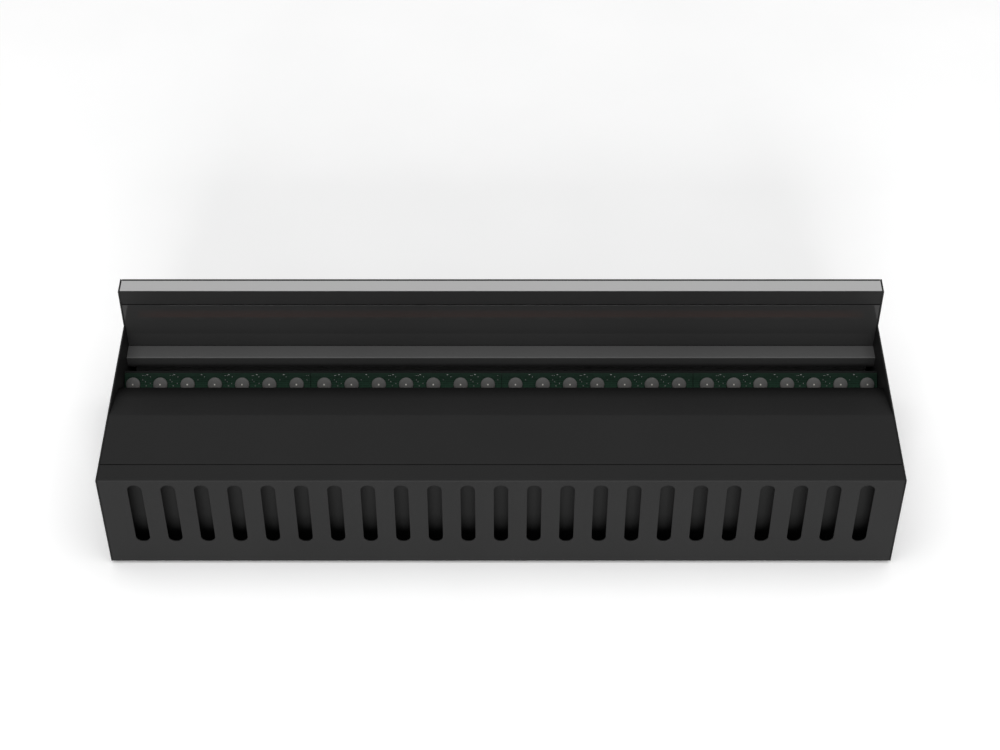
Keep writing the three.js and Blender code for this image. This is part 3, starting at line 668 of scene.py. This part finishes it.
def led_board(number, first, pitch):
    node = f"led_board_{number}"
    box = extent(node)
    half = (box.right - box.left) / 2
    x, _, _ = middle(node)
    place = board_frame(x) @ Matrix.Translation((0, 0, -BOARD_THICKNESS / 2 * MM))
    outline = box_loop(-half, -BOARD_HALF, half, BOARD_HALF, 0.8, 3)
    holes = [circle(side * (half - 4), 3.1 - BOARD_HALF, 1.2, 20) for side in (-1, 1)]
    laminate = plate_mesh([outline, *holes], BOARD_THICKNESS, place, 0.1)
    finished(node + "_laminate", laminate, [BOARD], node, bevel=0)

    rng = random.Random(number)
    tin, dies, lenses = bmesh.new(), bmesh.new(), bmesh.new()
    for index in range(PER_BOARD):
        x = first + index * pitch
        spot = board_frame(x)
        add_turned(lenses, LENS_PROFILE, spot, 40)
        add_part(dies, spot, 0, 1.5, 1.5, 0.3, LENS_HEIGHT - 0.3)
        chosen = CHIPS if (index + number) % 3 else CHIPS[2:5]
        for across, up, width, length in chosen:
            chip_x = x + pitch / 2 + across
            if chip_x < box.right - 2:
                shift = rng.uniform(-0.5, 0.5)
                add_part(tin, board_frame(chip_x + shift), up, width, length, rng.uniform(0.3, 0.6))
    finished(node + "_tinned_parts", tin, [SOLDER], node, bevel=0.06, segments=1)
    finished(node + "_lenses", lenses, [LENS], node, bevel=0)
    finished(node + "_dies", dies, [DIE], node, bevel=0.1)


def light_row():
    from_cad("led_bracket_sheet", "led_bracket", [BRACKET], bevel=0.2)
    from_cad("glow_strip_bar", "glow_strip", [AMBER], bevel=0.8, segments=3)
    for number, (first, pitch) in enumerate(BOARD_ROWS, 1):
        led_board(number, first, pitch)


# ---- casing ------------------------------------------------------------------------------------

def end_plate(side, holes):
    node = f"{side}_end_plate"
    box = extent(node)
    outline = [(0, BASE), (DEPTH, BASE), (DEPTH, HEIGHT), (STEP_FRONT, HEIGHT), (STEP_FRONT, TOP), (0, TOP)]
    loops = [outline, circle(HINGE_FRONT, HINGE_Z, PIN_RADIUS + CLEARANCE), *holes]
    for index in (1, 2, 3):
        _, front, z = middle(f"{side}_plate_screw_{index}")
        loops.append(circle(front, z, SCREW_SEAT))
    place = basis((0, 1, 0), (0, 0, 1), (1, 0, 0), at(middle(node)[0], 0, 0))
    plate = plate_mesh(loops, box.right - box.left, place)
    finished(node + "_sheet", plate, [STEEL], node, bevel=0)


def rear_panel():
    box = extent("rear_panel")
    x, front, _ = middle("rear_panel")
    drain_x, _, drain_z = middle("drain_plug")
    loops = [
        box_loop(box.left, BASE, box.right, HEIGHT, 0.6, 3),
        circle(drain_x, drain_z, DRAIN_OPENING, 48),
    ]
    for group in VENT_GROUPS:
        for index in range(VENT_COUNT):
            vent_x = group + (index - (VENT_COUNT - 1) / 2) * VENT_PITCH
            loops.append(window(vent_x, VENT_Z, VENT_WIDTH, VENT_LENGTH, VENT_WIDTH / 2 - 0.01, 10))
    for index in (1, 2, 3, 4):
        screw_x, _, z = middle(f"rear_panel_screw_{index}")
        loops.append(circle(screw_x, z, SCREW_SEAT))
    plate = plate_mesh(loops, SHEET, facing_front(at(x, front, 0)))
    finished("rear_panel_sheet", plate, [STEEL], "rear_panel", bevel=0)


def casing():
    end_plate("left", [])
    holes = [
        window(CONTROL_FRONT, INLET_Z, *INLET_OPENING, 1.2),
        window(CONTROL_FRONT, SWITCH_Z, *SWITCH_OPENING, 0.8),
    ]
    holes += [circle(front, BUTTON_Z, BUTTON_OPENING, 40) for front in BUTTON_FRONTS]
    end_plate("right", holes)
    rear_panel()
    from_cad("base_tray_sheet", "base_tray", [INNER], bevel=0.25)


def screw_mesh():
    """A countersunk screw with a cross recess, its head just below local zero."""
    shape = bmesh.new()
    sunk = 0.1
    profile = [(0, -8), (1.4, -8), (1.9, -7), (1.9, -3.4), (3.75, -0.5), (3.8, -0.12), (3.6, 0), (0, 0)]
    add_turned(shape, [(radius, height - sunk) for radius, height in profile], Matrix.Identity(4), 36)
    screw = linked("screw", as_mesh("screw", shape))
    cross = bmesh.new()
    length, width, depth = 4.6, 0.9, 2.4
    for size in ((length, width, depth), (width, length, depth)):
        bmesh.ops.create_cube(cross, size=1.0, matrix=Matrix.Diagonal((*(Vector(size) * MM), 1.0)))
    tool = linked("recess", as_mesh("recess", cross))
    boolean = screw.modifiers.new("recess", "BOOLEAN")
    boolean.object = tool
    boolean.operation = "DIFFERENCE"
    boolean.solver = "EXACT"
    boolean.use_self = True
    result = applied(screw)
    bpy.data.objects.remove(tool)
    return result


def screws():
    pattern = screw_mesh()
    places = []
    for index in (1, 2, 3):
        for side, axis, face in (("left", "-x", -END), ("right", "x", END)):
            node = f"{side}_plate_screw_{index}"
            _, front, z = middle(node)
            places.append((node, placed(face, front, z, axis)))
    for index in (1, 2, 3, 4):
        node = f"rear_panel_screw_{index}"
        x, _, z = middle(node)
        places.append((node, placed(x, DEPTH, z, "y")))
    for node, place in places:
        mesh = pattern.copy()
        mesh.transform(place)
        finished(node + "_body", mesh, [ZINC], node, bevel=0.08, segments=1)


def feet():
    for index in (1, 2, 3, 4):
        node = f"foot_{index}"
        x, front, _ = middle(node)
        top = extent(node).top
        profile = [(0, 0.6), (2.8, 0.6), (3.4, 0), (8.6, 0), (9.4, 0.3), (9.9, 1.1)]
        profile += [(9.95, top - 0.2), (9.7, top), (0, top)]
        turned_piece(node + "_pad", node, profile, placed(x, front, 0), RUBBER)


# ---- controls ----------------------------------------------------------------------------------

# A push button's cap, from its flange to its dished face.
BUTTON_PROFILE = (
    (0, 0),
    (6.2, 0),
    (6.2, 1.6),
    (4.5, 1.6),
    (4.5, 4.1),
    (4.35, 4.5),
    (3.9, 4.75),
    (3.0, 4.7),
    (1.4, 4.45),
    (0, 4.4),
)


def inlet_and_switch():
    from_cad("mains_inlet_shell", "mains_inlet", [PLASTIC], bevel=0.6, segments=3)
    pins = bmesh.new()
    face, pin_half = END - 0.2, 1.06
    for across, up in ((-7, -2), (0, 2), (7, -2)):
        front, z = CONTROL_FRONT + across, INLET_Z + up
        low = (face - 17, front - pin_half, z - pin_half - 1)
        add_block(pins, low, (face - 5.45, front + pin_half, z + pin_half + 1))
    finished("mains_inlet_pins", pins, [ZINC], "mains_inlet", bevel=0.5, segments=3)
    from_cad("switch_body_shell", "switch_body", [PLASTIC], bevel=0.5, segments=3)
    from_cad("power_rocker_key", "power_rocker", [RED], bevel=0.6, segments=3)


def button_board():
    box = extent("button_board")
    face = box.left + BOARD_THICKNESS
    laminate = bmesh.new()
    add_block(laminate, (box.left, box.front, box.bottom), (face, box.back, box.top))
    finished("button_board_laminate", laminate, [BOARD], "button_board", bevel=0.15)

    keys, posts = bmesh.new(), bmesh.new()
    stem = [(0, 0), (1.7, 0), (1.7, 1.4), (1.4, 1.7), (0, 1.7)]
    for front in BUTTON_FRONTS:
        add_block(keys, (face - 0.1, front - 3, BUTTON_Z - 3), (face + 3.4, front + 3, BUTTON_Z + 3))
        add_turned(keys, stem, placed(face + 3.3, front, BUTTON_Z, "x"), 24)
    reach = END - SHEET - CLEARANCE - face
    for front in (CONTROL_FRONT - 27, CONTROL_FRONT + 27):
        post = [(0, 0), (2.4, 0), (2.4, reach), (0, reach)]
        add_turned(posts, post, placed(face, front, BUTTON_Z + 7, "x"), 24)
    finished("button_board_keys", keys, [PLASTIC], "button_board", bevel=0.25)
    finished("button_board_posts", posts, [WHITE], "button_board", bevel=0.2)


def controls():
    inlet_and_switch()
    button_board()
    for index, front in enumerate(BUTTON_FRONTS, 1):
        node = f"control_button_{index}"
        place = placed(extent(node).left, front, BUTTON_Z, "x")
        turned_piece(node + "_cap", node, BUTTON_PROFILE, place, PLASTIC)


# ---- water -------------------------------------------------------------------------------------

def ring(inner, outer, bottom, top, soft=0.4):
    """The closed profile of a round-edged ring."""
    return [
        (inner, bottom + soft),
        (inner + soft, bottom),
        (outer - soft, bottom),
        (outer, bottom + soft),
        (outer, top - soft),
        (outer - soft, top),
        (inner + soft, top),
        (inner, top - soft),
        (inner, bottom + soft),
    ]


def tank():
    from_cad("water_tank_shell", "water_tank", [TANK], bevel=1.6, segments=4)
    box = extent("water_tank")
    neck_height, neck_room = 10, 22
    first_rib, rib_pitch, rib_count = 32, 34, 6
    top = box.top - neck_height
    cap_x, _, _ = middle("tank_cap")
    ribs = bmesh.new()
    for index in range(rib_count):
        x = box.left + first_rib + index * rib_pitch
        if abs(x - cap_x) > neck_room:
            add_block(ribs, (x - 1.5, box.front + 5, top - 0.3), (x + 1.5, box.back - 5, top + 0.6))
    finished("water_tank_ribs", ribs, [TANK], "water_tank", bevel=0.5)


def tank_cap():
    x, front, _ = middle("tank_cap")
    base = extent("tank_cap").bottom
    segments, groove = 96, 0.7
    inside = [(0, 9.6), (15.5, 9.6), (15.5, 0)]
    outside = [(17.6, 0), (18, 0.4), (18, 10.4), (17.5, 11.3), (16.6, 11.9), (15.8, 12), (0, 12)]
    shell = bmesh.new()
    add_turned(shell, inside + outside, placed(x, front, base), segments)
    for vert in shell.verts:
        local = (vert.co - at(x, front, base)) / MM
        radius = math.hypot(local.x, local.y)
        step = round(math.atan2(local.y, local.x) / (2 * math.pi) * segments)
        if radius > 17.4 and 0.3 < local.z < 10.8 and step % 4 in (0, 1):
            vert.co -= Vector((local.x, local.y, 0)) / radius * groove * MM
    finished("tank_cap_shell", shell, [PLASTIC], "tank_cap", bevel=0)

    grip = bmesh.new()
    add_block(grip, (x - 13, front - 2, base + 11), (x + 13, front + 2, base + 17))
    finished("tank_cap_grip", grip, [PLASTIC], "tank_cap", bevel=1.4, segments=4)


def feed_pipe():
    x, _, z = middle("feed_pipe")
    box = extent("feed_pipe")
    profile = ring(3.5, 5, 0, box.back - box.front)
    turned_piece("feed_pipe_tube", "feed_pipe", profile, placed(x, box.front, z, "y"), SILICONE)


def vapour_modules():
    body = [(0, 0), (21, 0), (22.4, 0.6), (23, 2), (23, 8.6), (22.6, 9.4), (20.4, 13.4), (19.6, 14)]
    body += [(13, 14), (12.5, 13.6), (11.3, 11.2), (0, 11.2)]
    seal = ring(9.4, 11.6, 10.9, 12.4, 0.5)
    disc = [(0, 11.3), (9.3, 11.3), (9.3, 11.7), (4.2, 11.75), (4.0, 11.62), (0, 11.62)]
    for index in range(1, 6):
        node = f"ultrasonic_module_{index}"
        x, front, _ = middle(node)
        place = placed(x, front, extent(node).bottom)
        turned_piece(node + "_body", node, body, place, PLASTIC)
        turned_piece(node + "_seal", node, seal, place, SILICONE)
        turned_piece(node + "_disc", node, disc, place, CERAMIC)


def level_sensor():
    x, front, _ = middle("float_stem")
    place = placed(x, front, extent("float_stem").bottom)
    stem = [(0, 0), (8.6, 0), (9, 0.4), (9, 1.6), (8.6, 2), (3.6, 2), (3, 2.6), (3, 50)]
    stem += [(6.1, 50), (6.5, 50.4), (6.5, 52.6), (6.1, 53), (0, 53)]
    turned_piece("float_stem_post", "float_stem", stem, place, WHITE)
    turned_piece("level_float_ring", "level_float", ring(3.6, 14, 2.6, 16.4, 1.3), place, WHITE)


def drain():
    x, _, z = middle("drain_plug")
    start = extent("drain_plug").front
    place = placed(x, start, z, "y")
    plug = [(0, 0), (8.2, 0), (8.6, 0.4), (8.6, 3.2), (7.9, 3.5), (7.9, 5.3), (8.6, 5.6), (8.6, 9.7)]
    plug += [(8.6, 10), (11.1, 10), (11.5, 10.4), (11.5, 12.6), (11.1, 13), (0, 13)]
    turned_piece("drain_plug_body", "drain_plug", plug, place, RED)
    wing = bmesh.new()
    add_block(wing, (x - 8, start + 12, z - 1.8), (x + 8, DEPTH - 0.6, z + 1.8))
    finished("drain_plug_wing", wing, [RED], "drain_plug", bevel=0.9, segments=3)
    turned_piece("drain_plug_seal", "drain_plug", ring(7.7, 8.7, 3.6, 5.2), place, RUBBER)


def chamber():
    from_cad("mist_chamber_trough", "mist_chamber", [CHAMBER], bevel=0.5)
    vapour_modules()
    level_sensor()
    drain()


# ---- air ---------------------------------------------------------------------------------------

def fan_frame(number):
    node = f"fan_frame_{number}"
    box = extent(node)
    x, _, z = middle(node)
    depth = box.back - box.front
    outline = box_loop(-FAN_HALF, -FAN_HALF, FAN_HALF, FAN_HALF, 3)
    holes = [circle(dx * FAN_HOLE, dz * FAN_HOLE, 2.1, 20) for dx in (-1, 1) for dz in (-1, 1)]
    loops = [outline, circle(0, 0, FAN_BORE, 72), *holes]
    for label, centre in (("front", box.front + FAN_FLANGE / 2), ("back", box.back - FAN_FLANGE / 2)):
        flange = plate_mesh(loops, FAN_FLANGE, facing_front(at(x, centre, z)), 0.5)
        finished(f"{node}_{label}", flange, [FAN], node, bevel=0)

    shroud = bmesh.new()
    place = placed(x, box.front, z, "y")
    overlap = FAN_FLANGE - 0.4
    add_turned(shroud, ring(FAN_BORE, FAN_HALF - 0.4, overlap, depth - overlap, 0.1), place, 72)
    motor = [(2.1, 16.5), (11.5, 16.5), (11.5, 19.6), (11.1, 20), (2.1, 20), (2.1, 16.5)]
    add_turned(shroud, motor, place)
    arm = Matrix.Translation((19.75 * MM, 0, 0)) @ Matrix.Diagonal((17.5 * MM, 3.2 * MM, 2.8 * MM, 1.0))
    for turn in range(4):
        rotate = Matrix.Rotation(0.6 + turn * math.pi / 2, 4, "Y")
        place = Matrix.Translation(at(x, box.back - 1.75, z)) @ rotate @ arm
        bmesh.ops.create_cube(shroud, size=1.0, matrix=place)
    finished(node + "_shroud", shroud, [FAN], node, bevel=0.25)


def fan_rotor(number):
    node = f"fan_rotor_{number}"
    x, _, z = middle(f"fan_frame_{number}")
    start = extent(node).front
    hub = [(0, 0.3), (3.5, 0.3), (4, 0), (11.5, 0), (12.3, 0.5), (HUB_RADIUS, 1.4), (HUB_RADIUS, ROTOR_DEPTH)]
    hub += [(1.6, ROTOR_DEPTH), (1.6, ROTOR_DEPTH + 3), (0, ROTOR_DEPTH + 3)]
    turned_piece(node + "_hub", node, hub, placed(x, start, z, "y"), FAN)

    blades = bmesh.new()
    stations = 7
    for blade in range(BLADE_COUNT):
        rows = []
        for step in range(stations):
            outward = step / (stations - 1)
            radius = BLADE_ROOT + (BLADE_TIP - BLADE_ROOT) * outward
            row = []
            for across in range(stations):
                along = across / (stations - 1) - 0.5
                angle = 2 * math.pi * blade / BLADE_COUNT + along * (0.86 - 0.1 * outward)
                front = start + ROTOR_DEPTH / 2 - along * 9.6 + 1.3 * math.sin(math.pi * (along + 0.5))
                spot = at(x + radius * math.cos(angle), front, z + radius * math.sin(angle))
                row.append(blades.verts.new(spot))
            rows.append(row)
        for lower, upper in zip(rows, rows[1:]):
            for k in range(stations - 1):
                blades.faces.new((lower[k], lower[k + 1], upper[k + 1], upper[k]))
    finished(node + "_blades", blades, [FAN], node, bevel=0.15, thickness=0.9, angle=60)


# ---- electrics ---------------------------------------------------------------------------------

def power_supply():
    box = extent("power_supply")
    cover_thickness = 3
    case = bmesh.new()
    case_top = box.top - cover_thickness + 0.1
    add_block(case, (box.left, box.front, box.bottom), (box.right, box.back, case_top))
    finished("power_supply_case", case, [ZINC], "power_supply", bevel=0.6, segments=3)

    loops = [box_loop(box.left, box.front, box.right, box.back, 1.2)]
    first_vent, vent_pitch, vent_width, margin = 18, 10, 4, 10
    for index in range(8):
        x = box.left + first_vent + index * vent_pitch
        loops.append(box_loop(x, box.front + margin, x + vent_width, box.back - margin, 1.9))
    place = basis((1, 0, 0), (0, 1, 0), (0, 0, 1), at(0, 0, box.top - cover_thickness / 2))
    cover = plate_mesh(loops, cover_thickness, place, 0.4)
    finished("power_supply_cover", cover, [ZINC], "power_supply", bevel=0)


def control_board():
    node = "control_board"
    box = extent(node)
    face = 15.6
    left, front = box.left, box.front
    sunk = face - 0.1

    laminate = bmesh.new()
    add_block(laminate, (left, front, face - BOARD_THICKNESS), (box.right, box.back, face))
    finished("control_board_laminate", laminate, [BOARD], node, bevel=0.15)

    posts = bmesh.new()
    for x in (left + 5, box.right - 5):
        for y in (front + 5, box.back - 5):
            add_turned(posts, [(0, 0), (2.6, 0), (2.6, 8.3), (0, 8.3)], placed(x, y, box.bottom), 24)
    finished("control_board_posts", posts, [WHITE], node, bevel=0.2)

    relays = bmesh.new()
    add_block(relays, (left + 10, front + 10, sunk), (left + 26, front + 26, box.top))
    add_block(relays, (left + 32, front + 10, sunk), (left + 48, front + 24, box.top - 4))
    finished("control_board_relays", relays, [PLASTIC], node, bevel=0.7, segments=3)

    terminals, tin = bmesh.new(), bmesh.new()
    terminal_top = 24
    add_block(terminals, (left + 54, front + 8, sunk), (left + 70, box.back - 10, terminal_top))
    for index in range(5):
        y = front + 10.5 + index * 6.6
        add_block(tin, (left + 57, y, terminal_top - 0.4), (left + 62, y + 4.6, terminal_top))
    finished("control_board_terminals", terminals, [WHITE], node, bevel=0.5)

    chip = bmesh.new()
    add_block(chip, (left + 14, front + 34, face + 0.3), (left + 36, front + 44, 19))
    finished("control_board_chip", chip, [PLASTIC], node, bevel=0.3)
    for index in range(8):
        x = left + 15.4 + index * 2.6
        for y in (front + 33.2, front + 43.9):
            add_block(tin, (x, y, sunk), (x + 1, y + 0.9, 17.2))
    finished("control_board_tin", tin, [SOLDER], node, bevel=0.1, segments=1)

    can = [(0, 0), (5, 0), (5, 1.6), (4.7, 2), (5, 2.4), (5, 14.9), (4.6, 15.4), (0, 15.4)]
    turned_piece("control_board_capacitor", node, can, placed(left + 45, front + 39, sunk), ZINC)


# ---- stage -------------------------------------------------------------------------------------

def add_light(name, place, aim, size, power):
    lamp = bpy.data.lights.new(name, "AREA")
    lamp.shape = "RECTANGLE"
    lamp.size, lamp.size_y = size
    lamp.energy = power
    holder = linked(name, lamp)
    holder.location = place
    holder.rotation_euler = (Vector(aim) - Vector(place)).to_track_quat("-Z", "Y").to_euler()


def stage():
    shape = bmesh.new()
    bmesh.ops.create_grid(shape, x_segments=2, y_segments=2, size=8.0)
    mesh = as_mesh("floor", shape)
    floor = linked("floor", mesh)
    pale = surface("pale_floor", grey(0.96), grey(0.98), (0.85, 0.95), specular=0.1, grain=40.0)
    mesh.materials.append(pale)

    world = bpy.data.worlds.new("studio")
    world.use_nodes = True
    background = world.node_tree.nodes["Background"]
    background.inputs["Color"].default_value = (1.0, 1.0, 1.0, 1.0)
    background.inputs["Strength"].default_value = 0.42
    bpy.context.scene.world = world

    aim = (0, 0, 0.1)
    add_light("front", (0, -4.85, 1.3), aim, (2.4, 2.4), 245)
    add_light("top", (0, -0.3, 2.8), aim, (3.6, 2.4), 52)
    add_light("back", (0, 2.5, 1.6), aim, (3.2, 1.2), 7)
    bpy.context.scene.view_settings.view_transform = "Standard"
    bpy.context.scene.view_settings.look = "None"


def camera():
    pitch = math.radians(45)
    distance = 2.1617
    aim = at(-1.0, 147.6, TOP)
    back = Vector((0, -math.cos(pitch), math.sin(pitch)))
    eye = bpy.data.cameras.new("camera")
    eye.sensor_width = 36.0
    eye.lens = 75.17
    holder = linked("camera", eye)
    holder.location = aim + back * distance
    holder.rotation_euler = (math.pi / 2 - pitch, 0, 0)
    bpy.context.scene.camera = holder


camera()
stage()
front_cover()
inner_wall()
service_lid()
riser()
light_row()
casing()
screws()
feet()
controls()
tank()
tank_cap()
feed_pipe()
chamber()
for number in (1, 2, 3):
    fan_frame(number)
    fan_rotor(number)
power_supply()
control_board()
